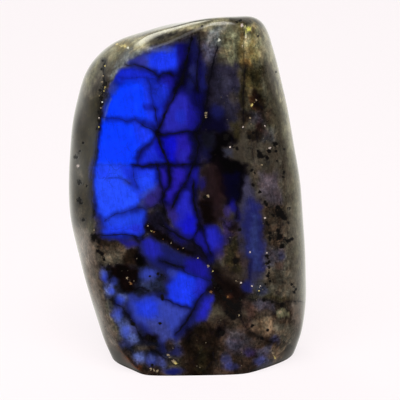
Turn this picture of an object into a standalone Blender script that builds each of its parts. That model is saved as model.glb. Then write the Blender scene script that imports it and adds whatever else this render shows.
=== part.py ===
"""A polished labradorite freeform that stands on its sawn base.

The stone is one solid. Its body is the space inside an outline and a dozen ground facets, each with its own crispness,
so that some ridges stay sharp and others melt into each other as they do on a hand-polished stone. The base is sawn
flat through that body.
"""

import math

import bmesh
import bpy
import numpy as np
from mathutils import Vector

MM = 0.001

# The heart is the point that every facet distance is measured from, above the middle of the base, in millimetres.
HEART = np.array((-0.7, -0.3, 54.0))

# The outline as someone sees it who looks down on the stone by this angle, in millimetres from the heart: right, up.
LOOK_DOWN = math.radians(12.0)
OUTLINE = (
    (6.0, 52.0),
    (14.5, 52.8),
    (20.8, 53.0),
    (24.8, 50.3),
    (27.8, 43.5),
    (30.2, 36.0),
    (34.3, 17.5),
    (36.2, 4.0),
    (37.7, -12.0),
    (38.3, -27.0),
    (38.2, -38.0),
    (36.6, -48.0),
    (31.5, -58.0),
    (16.0, -64.0),
    (-6.0, -64.5),
    (-19.5, -60.5),
    (-25.0, -50.5),
    (-29.0, -38.0),
    (-34.6, -18.0),
    (-38.0, -6.0),
    (-39.4, 3.0),
    (-38.8, 14.0),
    (-36.2, 27.0),
    (-32.2, 36.8),
    (-26.0, 43.2),
    (-17.0, 47.8),
    (-7.0, 50.7),
)
OUTLINE_CRISPNESS = 13.0
STEPS_BETWEEN_POINTS = 80

# The ground facets: the way each one faces, as degrees round from the front towards the right and degrees up, its
# distance from the heart in millimetres, and its crispness. A high crispness leaves a sharp ridge round the facet.
FACETS = {
    "front": (1.0, 2.0, 19.6, 26.0),
    "left_flank": (-57.0, 6.0, 33.4, 24.0),
    "lower_left_flank": (-57.0, -11.0, 37.4, 16.0),
    "base_left_bevel": (-50.0, -40.0, 52.8, 28.0),
    "left_shoulder": (-49.0, 36.0, 44.6, 22.0),
    "top": (-75.0, 73.0, 54.0, 26.0),
    "right_flank": (43.0, 7.0, 31.2, 7.0),
    "lower_right_flank": (42.0, -30.0, 52.0, 9.0),
    "back": (181.0, -2.0, 20.6, 12.0),
    "back_left": (-127.0, 4.0, 32.0, 9.0),
    "back_right": (131.0, 8.0, 30.0, 12.0),
    "back_crown": (172.0, 44.0, 50.0, 16.0),
}

# The bevel is a small flat, ground over the top edge last: which way it faces as above, its distance from the heart in
# millimetres, and the crispness of its rim. It cuts the round edge in the shape of a lens.
BEVEL_FACES = (-30.0, 52.0)
BEVEL_DISTANCE = 49.05
BEVEL_CRISPNESS = 130.0

# Slow waves that hand polishing leaves in every face: height in millimetres, and radians per millimetre along X, Y, Z.
WAVES = (
    (0.16, (0.22, 0.10, 0.14)),
    (0.10, (-0.12, 0.26, 0.24)),
    (0.06, (0.34, -0.18, 0.32)),
)

BASE_EDGE_CHAMFER = 0.5

# The mesh starts as a cube, stretched to these half sizes in millimetres so that its faces come out about square.
HALF_SIZES = (36.0, 21.0, 56.0)
CUTS_PER_SIDE = 23

# The surface is found by halving the stretch between the heart and a distance that lies outside the stone.
FARTHEST = 112.0
HALVINGS = 40

SHADED_SHARP_FROM = math.radians(40.0)


def outline_reach():
    """The outline as angles and distances from the heart, on a smooth closed curve through its points."""
    points = np.array(OUTLINE)
    before, after, beyond = (np.roll(points, shift, axis=0) for shift in (1, -1, -2))
    steps = np.arange(STEPS_BETWEEN_POINTS)[:, None, None] / STEPS_BETWEEN_POINTS
    curve = 0.5 * (
        2 * points
        + (after - before) * steps
        + (2 * before - 5 * points + 4 * after - beyond) * steps**2
        + (3 * points - before - 3 * after + beyond) * steps**3
    )
    curve = curve.reshape(-1, 2)
    angles = np.arctan2(curve[:, 1], curve[:, 0])
    order = np.argsort(angles)
    return angles[order], np.hypot(curve[:, 0], curve[:, 1])[order]


def facing(round_from_front, up):
    """The unit vector of a facet that faces so many degrees round from the front and so many degrees up."""
    turn, rise = math.radians(round_from_front), math.radians(up)
    return np.array(
        (math.sin(turn) * math.cos(rise), -math.cos(turn) * math.cos(rise), math.sin(rise))
    )


def surface_distance(ways):
    """How far the stone's surface lies from the heart along each unit vector, in millimetres.

    A point's share of the way to a facet, or to the outline, is raised to that facet's crispness. The point is inside
    the stone while all its shares add up to less than one. The bevel is then cut over that surface.
    """
    angles, reaches = outline_reach()
    right = ways[:, 0]
    up = ways[:, 2] * math.cos(LOOK_DOWN) + ways[:, 1] * math.sin(LOOK_DOWN)
    reach = np.interp(np.arctan2(up, right), angles, reaches, period=2 * math.pi)
    shares = [(np.hypot(right, up) / reach, OUTLINE_CRISPNESS)]
    for round_from_front, rise, distance, crispness in FACETS.values():
        towards = np.maximum(ways @ facing(round_from_front, rise), 0.0)
        shares.append((towards / distance, crispness))
    near, far = np.zeros(len(ways)), np.full(len(ways), FARTHEST)
    for _ in range(HALVINGS):
        middle = (near + far) / 2
        inside = sum((middle * share) ** crispness for share, crispness in shares) < 1
        near, far = np.where(inside, middle, near), np.where(inside, far, middle)
    bevel_share = np.maximum(ways @ facing(*BEVEL_FACES), 0.0) / BEVEL_DISTANCE
    return (near**-BEVEL_CRISPNESS + bevel_share**BEVEL_CRISPNESS) ** (-1 / BEVEL_CRISPNESS)


def polishing_waves(points):
    """The height of the slow waves at each point, in millimetres."""
    return sum(height * np.sin(points @ np.array(wave)) for height, wave in WAVES)


def stone_points(ways):
    """Points of the uncut stone's surface along each direction, in millimetres, with the base's plane at zero."""
    ways = ways * np.array(HALF_SIZES)
    ways /= np.linalg.norm(ways, axis=1, keepdims=True)
    points = ways * surface_distance(ways)[:, None]
    points += ways * polishing_waves(points)[:, None]
    return points + HEART


def new_stone_mesh(cuts):
    """A cube with its sides cut into a grid, swelled onto the stone's surface and sawn flat at the base."""
    shape = bmesh.new()
    bmesh.ops.create_cube(shape, size=2.0)
    bmesh.ops.subdivide_edges(shape, edges=shape.edges[:], cuts=cuts, use_grid_fill=True)
    corners = np.array([v.co for v in shape.verts])
    ways = np.tan(corners * math.pi / 4)
    for vert, point in zip(shape.verts, stone_points(ways), strict=True):
        vert.co = Vector(point * MM)
    cut = bmesh.ops.bisect_plane(
        shape,
        geom=shape.verts[:] + shape.edges[:] + shape.faces[:],
        plane_co=(0, 0, 0),
        plane_no=(0, 0, 1),
        clear_inner=True,
    )
    rim = [part for part in cut["geom_cut"] if isinstance(part, bmesh.types.BMEdge)]
    bmesh.ops.edgeloop_fill(shape, edges=rim)
    bmesh.ops.bevel(
        shape,
        geom=rim,
        offset=BASE_EDGE_CHAMFER * MM,
        segments=1,
        affect="EDGES",
    )
    bmesh.ops.recalc_face_normals(shape, faces=shape.faces[:])
    mesh = bpy.data.meshes.new("stone")
    shape.to_mesh(mesh)
    shape.free()
    return mesh


def labradorite():
    """Dark grey feldspar with a polish."""
    material = bpy.data.materials.new("labradorite")
    material.use_nodes = True
    surface = material.node_tree.nodes["Principled BSDF"]
    surface.inputs["Base Color"].default_value = (0.075, 0.085, 0.10, 1.0)
    surface.inputs["Roughness"].default_value = 0.12
    surface.inputs["Metallic"].default_value = 0.0
    surface.inputs["IOR"].default_value = 1.56
    return material


def make_stone():
    """The whole stone, standing on its base."""
    mesh = new_stone_mesh(CUTS_PER_SIDE)
    mesh.shade_smooth()
    mesh.set_sharp_from_angle(angle=SHADED_SHARP_FROM)
    mesh.materials.append(labradorite())
    stone = bpy.data.objects.new("stone", mesh)
    bpy.context.scene.collection.objects.link(stone)
    return stone


def main():
    for obj in list(bpy.data.objects):
        bpy.data.objects.remove(obj)
    make_stone()


main()
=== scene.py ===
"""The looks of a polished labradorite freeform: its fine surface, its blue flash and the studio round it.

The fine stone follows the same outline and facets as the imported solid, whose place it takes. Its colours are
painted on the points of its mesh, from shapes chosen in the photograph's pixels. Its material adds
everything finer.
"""

import math

import bmesh
import bpy
import numpy as np
from mathutils import Matrix, Vector, noise


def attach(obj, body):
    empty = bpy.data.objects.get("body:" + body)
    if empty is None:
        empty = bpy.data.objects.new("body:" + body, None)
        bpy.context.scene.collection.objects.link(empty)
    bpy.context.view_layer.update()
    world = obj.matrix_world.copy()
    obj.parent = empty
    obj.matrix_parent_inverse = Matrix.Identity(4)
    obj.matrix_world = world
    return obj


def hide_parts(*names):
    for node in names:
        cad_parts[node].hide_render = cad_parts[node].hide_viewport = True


MM = 0.001

# The shape, as in the solid: sizes in millimetres, from the heart of the stone. The outline is right and
# up, as seen by someone who looks down by the angle. A facet has its degrees round from the front and up,
# its distance and its crispness. A wave has its height, and its radians for each millimetre along X, Y
# and Z.
HEART = np.array((-0.7, -0.3, 54.0))
LOOK_DOWN = math.radians(12.0)
OUTLINE = (
    (6.0, 52.0), (14.5, 52.8), (20.8, 53.0), (24.8, 50.3), (27.8, 43.5), (30.2, 36.0), (34.3, 17.5),
    (36.2, 4.0), (37.7, -12.0), (38.3, -27.0), (38.2, -38.0), (36.6, -48.0), (31.5, -58.0), (16.0, -64.0),
    (-6.0, -64.5), (-19.5, -60.5), (-25.0, -50.5), (-29.0, -38.0), (-34.6, -18.0), (-38.0, -6.0),
    (-39.4, 3.0), (-38.8, 14.0), (-36.2, 27.0), (-32.2, 36.8), (-26.0, 43.2), (-17.0, 47.8), (-7.0, 50.7),
)
OUTLINE_CRISPNESS = 13.0
STEPS_BETWEEN_POINTS = 80
FACETS = {
    "front": (1.0, 2.0, 19.6, 26.0),
    "left_flank": (-57.0, 6.0, 33.4, 24.0),
    "lower_left_flank": (-57.0, -11.0, 37.4, 16.0),
    "base_left_bevel": (-50.0, -40.0, 52.8, 28.0),
    "left_shoulder": (-49.0, 36.0, 44.6, 22.0),
    "top": (-75.0, 73.0, 54.0, 26.0),
    "right_flank": (43.0, 7.0, 31.2, 7.0),
    "lower_right_flank": (42.0, -30.0, 52.0, 9.0),
    "back": (181.0, -2.0, 20.6, 12.0),
    "back_left": (-127.0, 4.0, 32.0, 9.0),
    "back_right": (131.0, 8.0, 30.0, 12.0),
    "back_crown": (172.0, 44.0, 50.0, 16.0),
}
BEVEL_FACES = (-30.0, 52.0)
BEVEL_DISTANCE = 49.05
BEVEL_CRISPNESS = 130.0
WAVES = (
    (0.16, (0.22, 0.10, 0.14)),
    (0.10, (-0.12, 0.26, 0.24)),
    (0.06, (0.34, -0.18, 0.32)),
)
FARTHEST = 112.0
HALVINGS = 40

# The fine mesh: a box cut into squares of about half a millimetre, swelled onto the surface. The base's
# edge is rounded in rings, each with its height above the base and its way in from the side.
HALF_SIZES = (36.0, 21.0, 56.0)
SQUARES = (154, 44, 224)
BASE_RINGS = ((0.5, 0.0), (0.22, 0.08), (0.06, 0.24), (0.0, 0.5))
SAME_PLACE = 1e-6
SHADED_SHARP_FROM = math.radians(40.0)

# The photograph's camera, and the size and place of its pixels, in millimetres.
CAMERA_AWAY = 600.0
PIXEL = 0.311
PHOTO_SIDE = 400
PHOTO_MIDDLE_FROM_HEART = (4.35, -3.36)
SENSOR = 36.0

# The floor: the half of its side in metres, its colour, and the glow that makes it as pale as the
# photograph's ground.
FLOOR_REACH = 4.0
FLOOR_COLOUR = (0.13, 0.125, 0.127, 1.0)
FLOOR_GLOW = (0.985, 0.928, 0.945, 1.0)
FLOOR_GLOW_STRENGTH = 0.88

# The light all round. Its strength falls towards the dim side, between two angles from it in degrees, and
# changes with the height of the way that it comes from: start and end of each change, and the shares of
# the light there.
ROOM_COLOUR = (1.0, 0.99, 0.93, 1.0)
DIM_SIDE = (0.0, -1.0, -0.10)
BRIGHT_FROM, DIM_FROM = 150, 100
BRIGHT, DIM = 1.05, 0.03
BELOW = (-0.42, -0.22, 0.28, 1.0)
ABOVE = (0.10, 0.50, 1.0, 0.45)

# The soft boxes that the polish mirrors: the way to each, the half angles in degrees of its full middle
# and of its soft rim, its radiance and its colour.
SOFT_BOXES = (
    ((-0.34, 0.64, 0.69), 4, 14, 5.0, (1.0, 0.98, 0.84)),
    ((0.10, -0.52, 0.85), 8, 24, 5.5, (1.0, 1.0, 0.96)),
    ((-0.36, -0.45, 0.81), 8, 26, 1.1, (0.98, 0.96, 1.0)),
    ((-0.52, 0.85, -0.02), 6, 26, 0.40, (1.0, 0.99, 0.92)),
)

# The fill light, which the polish doesn't mirror: the way to it, its distance and side in metres and its
# radiance.
FILL_WAY = (-0.14, -0.70, 0.68)
FILL_AWAY = 1.0
FILL_SIDE = 0.80
FILL_RADIANCE = 3.6

# The stone's colours, each as red, green and blue from 0 to 255 as the eye sees them, and the power that
# turns a share of 255 into light.
EYE = 2.2
COLOURS = {
    "azure": (12, 54, 236),
    "pale azure": (35, 69, 232),
    "royal": (28, 52, 214),
    "dim royal": (24, 38, 178),
    "haze blue": (82, 94, 156),
    "dusk": (48, 60, 150),
    "blue": (34, 36, 166),
    "pure blue": (16, 16, 174),
    "violet": (37, 37, 152),
    "dim violet": (36, 28, 148),
    "night": (26, 24, 126),
    "ink": (15, 14, 66),
    "navy": (22, 22, 54),
    "dark navy": (8, 6, 30),
    "blue shade": (27, 30, 84),
    "slate blue": (58, 62, 112),
    "steel": (32, 34, 82),
    "pale steel": (44, 52, 97),
    "plum": (44, 35, 108),
    "slate": (36, 34, 48),
    "pale slate": (62, 60, 76),
    "mist": (97, 101, 105),
    "fog": (114, 118, 118),
    "teal": (40, 46, 74),
    "dark teal": (24, 25, 36),
    "lavender": (72, 64, 72),
    "lilac grey": (70, 64, 71),
    "black": (8, 5, 9),
    "brown black": (14, 8, 8),
    "dark brown": (26, 20, 16),
    "umber": (44, 36, 31),
    "shade": (58, 53, 46),
    "flank": (48, 43, 33),
    "brown": (68, 58, 49),
    "rose": (62, 48, 44),
    "maroon": (26, 17, 22),
    "red brown": (40, 22, 22),
    "rust": (88, 50, 32),
    "taupe": (82, 76, 66),
    "warm grey": (112, 101, 91),
    "tan": (96, 82, 67),
    "dark olive": (44, 40, 27),
    "olive": (66, 62, 51),
    "moss": (104, 101, 80),
    "pale olive": (126, 121, 96),
    "ochre": (106, 94, 60),
    "amber": (122, 84, 42),
    "straw": (158, 152, 122),
}

# The painted shapes of the front, from the lowest layer up: colour, strength, softness of the edge in
# pixels, corners.
ROCK = (
    # the right side; its moss and straw bands along the outline are partly paler rock and partly painted sheen
    ("taupe", 1.0, 14, ((268, 60), (300, 60), (314, 200), (314, 380), (288, 380), (283, 300), (284, 200),
        (276, 120))),
    ("moss", 0.9, 10, ((266, 30), (284, 30), (302, 130), (314, 230), (314, 340), (301, 340), (297, 240),
        (290, 170), (281, 120), (270, 70))),
    ("straw", 0.9, 9, ((262, 26), (284, 26), (300, 110), (306, 150), (294, 150), (284, 110), (272, 66),
        (263, 40))),
    ("shade", 1.0, 10, ((246, 140), (284, 138), (288, 205), (262, 208), (250, 190))),
    ("taupe", 0.7, 9, ((276, 176), (290, 172), (292, 196), (278, 200))),
    ("lavender", 0.9, 8, ((260, 172), (277, 172), (282, 202), (272, 208), (262, 198))),
    ("umber", 0.8, 10, ((258, 202), (282, 204), (285, 250), (262, 258))),
    ("pale slate", 0.6, 8, ((262, 244), (284, 250), (285, 268), (264, 272))),
    ("shade", 0.9, 8, ((264, 268), (286, 262), (285, 298), (264, 294))),
    ("taupe", 0.8, 8, ((284, 264), (300, 258), (301, 298), (284, 296))),
    ("dark olive", 0.7, 7, ((256, 290), (276, 294), (292, 300), (288, 309), (268, 302))),
    # the top
    ("flank", 1.0, 12, ((84, 100), (100, 104), (97, 160), (92, 200), (96, 226), (84, 232), (72, 190),
        (74, 140))),
    ("dark olive", 0.9, 8, ((88, 94), (103, 92), (100, 126), (97, 160), (92, 186), (86, 186), (89, 140))),
    # the moss, pale olive and fog bands along the top left outline and the shoulder's ridge are partly paler
    # rock and partly painted sheen and highlight
    ("taupe", 0.9, 10, ((78, 90), (98, 52), (112, 46), (106, 66), (98, 84), (92, 98))),
    ("moss", 1.0, 9, ((82, 84), (98, 52), (118, 38), (112, 50), (100, 66), (92, 86))),
    ("pale olive", 0.9, 9, ((104, 56), (118, 40), (136, 32), (146, 40), (134, 50), (122, 52), (110, 64))),
    ("ochre", 0.7, 6, ((116, 40), (130, 40), (132, 50), (120, 50), (112, 46))),
    ("fog", 0.9, 9, ((108, 76), (116, 62), (126, 52), (140, 48), (150, 47), (146, 53), (132, 60),
        (121, 70), (113, 84))),
    # the straw band along the upper rim and round the lens's left end is a painted highlight
    ("straw", 0.8, 6, ((133, 44), (140, 37), (152, 32), (164, 28), (182, 24), (204, 22), (228, 19),
        (230, 23), (206, 27), (184, 28), (166, 31), (154, 35), (148, 40), (148, 48), (138, 51))),
    ("slate", 1.0, 10, ((198, 64), (238, 64), (243, 104), (236, 128), (205, 136), (197, 120), (200, 80))),
    ("mist", 0.8, 8, ((206, 29), (228, 25), (232, 36), (224, 46), (212, 50), (206, 42))),
    ("pale slate", 0.9, 8, ((200, 40), (212, 46), (220, 56), (212, 66), (201, 64))),
    ("moss", 1.0, 10, ((222, 30), (238, 24), (242, 58), (230, 62), (219, 52))),
    ("ochre", 0.85, 9, ((238, 24), (260, 22), (263, 54), (254, 62), (240, 62))),
    # the pale olive at the top right corner is partly paler rock and partly a painted glow of light through the
    # thin edge
    ("pale olive", 0.7, 6, ((252, 22), (262, 26), (268, 60), (261, 64), (255, 40))),
    ("straw", 0.8, 4, ((244, 26), (251, 24), (250, 42), (245, 42))),
    ("straw", 0.4, 3, ((245, 40), (248, 40), (248, 60), (245, 60))),
    ("amber", 0.4, 4, ((240, 60), (250, 59), (251, 67), (242, 67))),
    ("amber", 0.2, 3, ((240, 24), (244, 24), (243, 60), (240, 60))),
    ("dark olive", 1.0, 8, ((240, 64), (262, 66), (264, 100), (262, 114), (250, 116), (241, 112))),
    ("olive", 0.9, 5, ((246, 88), (252, 86), (252, 124), (246, 124))),
    ("ochre", 0.4, 3, ((246, 68), (250, 68), (251, 96), (247, 96))),
    ("brown black", 0.8, 5, ((253, 88), (260, 90), (264, 112), (261, 130), (254, 116))),
    ("rust", 0.3, 4, ((250, 94), (255, 94), (256, 110), (251, 110))),
    ("red brown", 0.8, 5, ((256, 112), (261, 114), (260, 132), (255, 132))),
    ("olive", 1.0, 8, ((263, 72), (274, 72), (282, 120), (276, 136), (266, 134), (265, 100))),
    ("taupe", 0.8, 7, ((266, 62), (274, 66), (280, 96), (272, 96))),
    ("umber", 0.8, 8, ((236, 108), (246, 112), (272, 110), (272, 122), (252, 124), (238, 122))),
    ("teal", 0.3, 6, ((246, 112), (260, 114), (264, 124), (250, 124))),
    ("dark olive", 0.9, 8, ((232, 122), (244, 122), (244, 142), (236, 146), (230, 136))),
    ("dark navy", 0.8, 12, ((196, 98), (212, 108), (226, 118), (230, 134), (206, 138), (196, 124))),
    ("shade", 1.0, 6, ((240, 124), (252, 128), (253, 152), (243, 152), (240, 138))),
    ("dark brown", 0.8, 6, ((249, 130), (262, 130), (261, 142), (251, 143))),
    ("teal", 0.25, 8, ((262, 130), (276, 130), (276, 142), (262, 142))),
    # the dark middle
    ("black", 1.0, 8, ((203, 134), (232, 131), (240, 150), (247, 166), (246, 184), (240, 200), (229, 207),
        (219, 190), (214, 168), (202, 158))),
    ("dark navy", 0.9, 8, ((222, 172), (241, 174), (238, 198), (229, 205), (222, 190))),
    ("dark teal", 0.8, 7, ((200, 134), (216, 134), (212, 150), (200, 150))),
    ("navy", 0.7, 7, ((200, 148), (210, 148), (210, 162), (200, 162))),
    ("shade", 0.9, 6, ((223, 147), (232, 144), (246, 142), (252, 152), (245, 164), (235, 160),
        (224, 158))),
    ("teal", 0.5, 5, ((223, 149), (231, 146), (232, 156), (224, 158))),
    ("maroon", 0.85, 18, ((199, 163), (216, 164), (222, 180), (227, 204), (224, 226), (208, 230),
        (199, 214))),
    ("red brown", 0.3, 12, ((212, 168), (219, 172), (224, 196), (219, 210), (213, 192))),
    ("brown black", 0.9, 7, ((200, 202), (212, 198), (216, 220), (208, 230), (202, 220))),
    ("umber", 1.0, 9, ((224, 214), (240, 224), (245, 262), (240, 272), (226, 270), (220, 246))),
    ("plum", 0.5, 7, ((222, 218), (232, 222), (232, 244), (222, 246))),
    ("dark olive", 0.8, 6, ((229, 238), (236, 236), (242, 256), (242, 268), (231, 272), (226, 262))),
    ("rose", 0.6, 6, ((238, 252), (246, 254), (246, 268), (239, 270))),
    # the steel blue wedge
    ("steel", 0.6, 12, ((246, 178), (252, 186), (260, 206), (263, 230), (264, 262), (262, 280),
        (248, 292), (244, 282), (245, 262), (240, 240), (234, 222), (240, 200))),
    ("steel", 1.0, 9, ((251, 199), (260, 206), (263, 230), (264, 256), (262, 270), (254, 272), (249, 258),
        (244, 236), (241, 224), (245, 210))),
    ("pale steel", 0.8, 8, ((250, 214), (257, 218), (261, 250), (260, 270), (254, 272), (250, 240))),
    ("pale slate", 0.6, 6, ((245, 178), (250, 182), (254, 196), (246, 200), (243, 190))),
    ("umber", 0.5, 5, ((243, 258), (249, 258), (250, 280), (244, 280))),
    # the lower right
    ("umber", 0.9, 8, ((214, 264), (228, 266), (247, 280), (246, 300), (230, 292))),
    ("brown black", 0.85, 14, ((207, 266), (216, 268), (228, 278), (242, 288), (244, 300), (228, 302),
        (214, 305), (206, 290))),
    ("brown black", 0.7, 10, ((222, 300), (229, 297), (235, 301), (241, 296), (243, 306), (240, 319),
        (231, 322), (224, 312))),
    ("umber", 1.0, 10, ((214, 318), (244, 317), (262, 300), (296, 304), (304, 330), (296, 358),
        (262, 374), (240, 382), (180, 384), (182, 340), (200, 326))),
    ("dark brown", 1.0, 9, ((184, 322), (206, 322), (222, 330), (218, 344), (212, 376), (186, 378),
        (180, 346))),
    ("dark olive", 0.6, 7, ((198, 346), (208, 348), (208, 372), (196, 372))),
    ("rose", 1.0, 8, ((242, 300), (256, 301), (260, 318), (246, 324))),
    ("pale slate", 0.6, 7, ((254, 300), (272, 301), (276, 310), (258, 312))),
    ("brown", 1.0, 9, ((256, 310), (280, 316), (294, 322), (288, 338), (262, 338), (250, 328))),
    ("tan", 1.0, 7, ((258, 318), (268, 317), (274, 326), (266, 333), (258, 329))),
    ("moss", 0.9, 4, ((278, 309), (287, 305), (287, 315), (280, 318))),
    ("taupe", 0.9, 9, ((272, 326), (294, 322), (304, 330), (296, 350), (280, 346))),
    ("warm grey", 0.8, 7, ((290, 304), (306, 300), (304, 334), (294, 330))),
    ("lilac grey", 0.7, 12, ((228, 330), (244, 331), (254, 344), (244, 354), (229, 350))),
    ("tan", 0.8, 6, ((268, 350), (286, 345), (284, 358), (271, 363))),
    ("pale slate", 0.9, 7, ((256, 351), (270, 346), (272, 364), (258, 371))),
    # the lower left; its warm grey band along the outline is partly paler rock and partly painted sheen
    ("warm grey", 1.0, 16, ((56, 222), (88, 230), (96, 250), (98, 280), (106, 306), (115, 324),
        (122, 342), (130, 356), (150, 370), (146, 388), (100, 388), (80, 320))),
    ("dark teal", 1.0, 12, ((101, 264), (120, 262), (160, 262), (170, 290), (176, 350), (160, 372),
        (136, 362), (122, 346), (113, 322), (106, 300))),
    ("moss", 0.5, 5, ((104, 300), (109, 300), (116, 322), (118, 338), (113, 330))),
    ("umber", 1.0, 10, ((104, 346), (126, 350), (138, 360), (152, 368), (166, 374), (164, 390),
        (110, 390))),
    ("rust", 0.8, 3, ((117, 347), (120, 348), (131, 361), (142, 369), (139, 370), (128, 363))),
    ("brown", 1.0, 8, ((94, 240), (112, 241), (128, 244), (134, 252), (128, 264), (112, 266),
        (102, 262))),
    ("taupe", 0.9, 7, ((106, 252), (116, 250), (122, 258), (116, 266), (107, 264))),
    ("dark brown", 0.9, 6, ((94, 236), (104, 238), (112, 242), (106, 248), (98, 246))),
    ("dark brown", 1.0, 7, ((122, 250), (140, 248), (146, 258), (138, 268), (124, 264))),
    ("black", 0.9, 5, ((133, 254), (141, 254), (144, 262), (136, 266))),
    ("brown black", 1.0, 4, ((107, 267), (116, 268), (126, 264), (138, 270), (139, 284), (133, 292),
        (125, 290), (119, 279), (112, 274))),
    ("dark teal", 0.9, 7, ((134, 284), (150, 283), (164, 286), (164, 297), (140, 297))),
    ("umber", 0.8, 7, ((150, 368), (162, 366), (164, 382), (146, 382))),
)
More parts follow.
